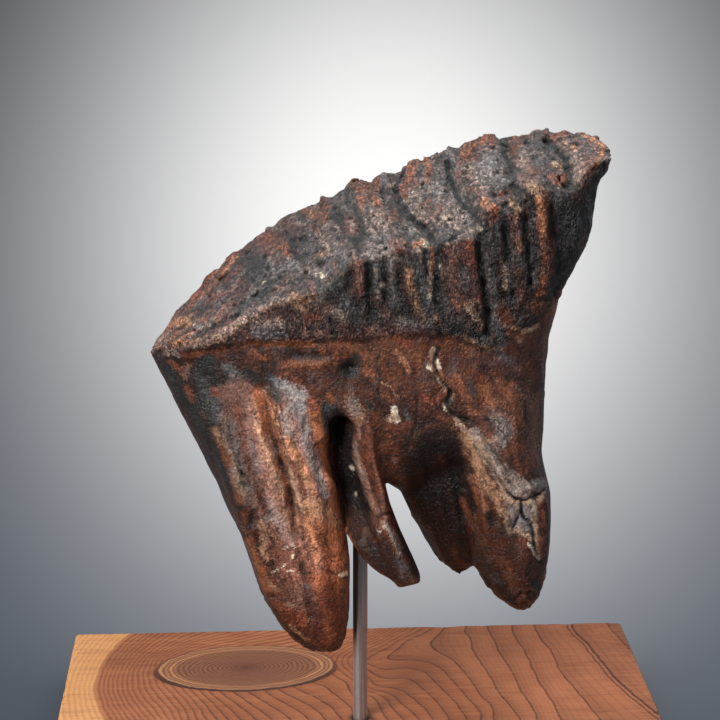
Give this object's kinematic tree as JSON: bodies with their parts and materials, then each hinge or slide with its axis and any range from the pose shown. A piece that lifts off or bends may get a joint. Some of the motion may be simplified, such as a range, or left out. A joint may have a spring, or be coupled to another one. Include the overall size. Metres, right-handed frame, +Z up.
{
  "type": "fossil mammoth tooth on stand",
  "caption": "Whole fossil mammoth molar with ridged crown and long roots, held above a wooden board by a plain steel rod.",
  "frame": {"origin": "centre of the board's underside", "axes": "+Z up along the rod, +X along the board and along the tooth towards its high rear end, +Y to the back"},
  "size_m": [0.3384, 0.2388, 0.3652],
  "materials": {
    "tooth": "mineralised tooth, red-brown roots, grey-brown crown, thin semi-gloss varnish",
    "post": "plain drawn rod, satin",
    "base": "planed reddish softwood with one large knot, satin"
  },
  "bodies": {
    "root": {"tooth": "tooth", "post": "post", "base": "base"}
  },
  "joints": []
}
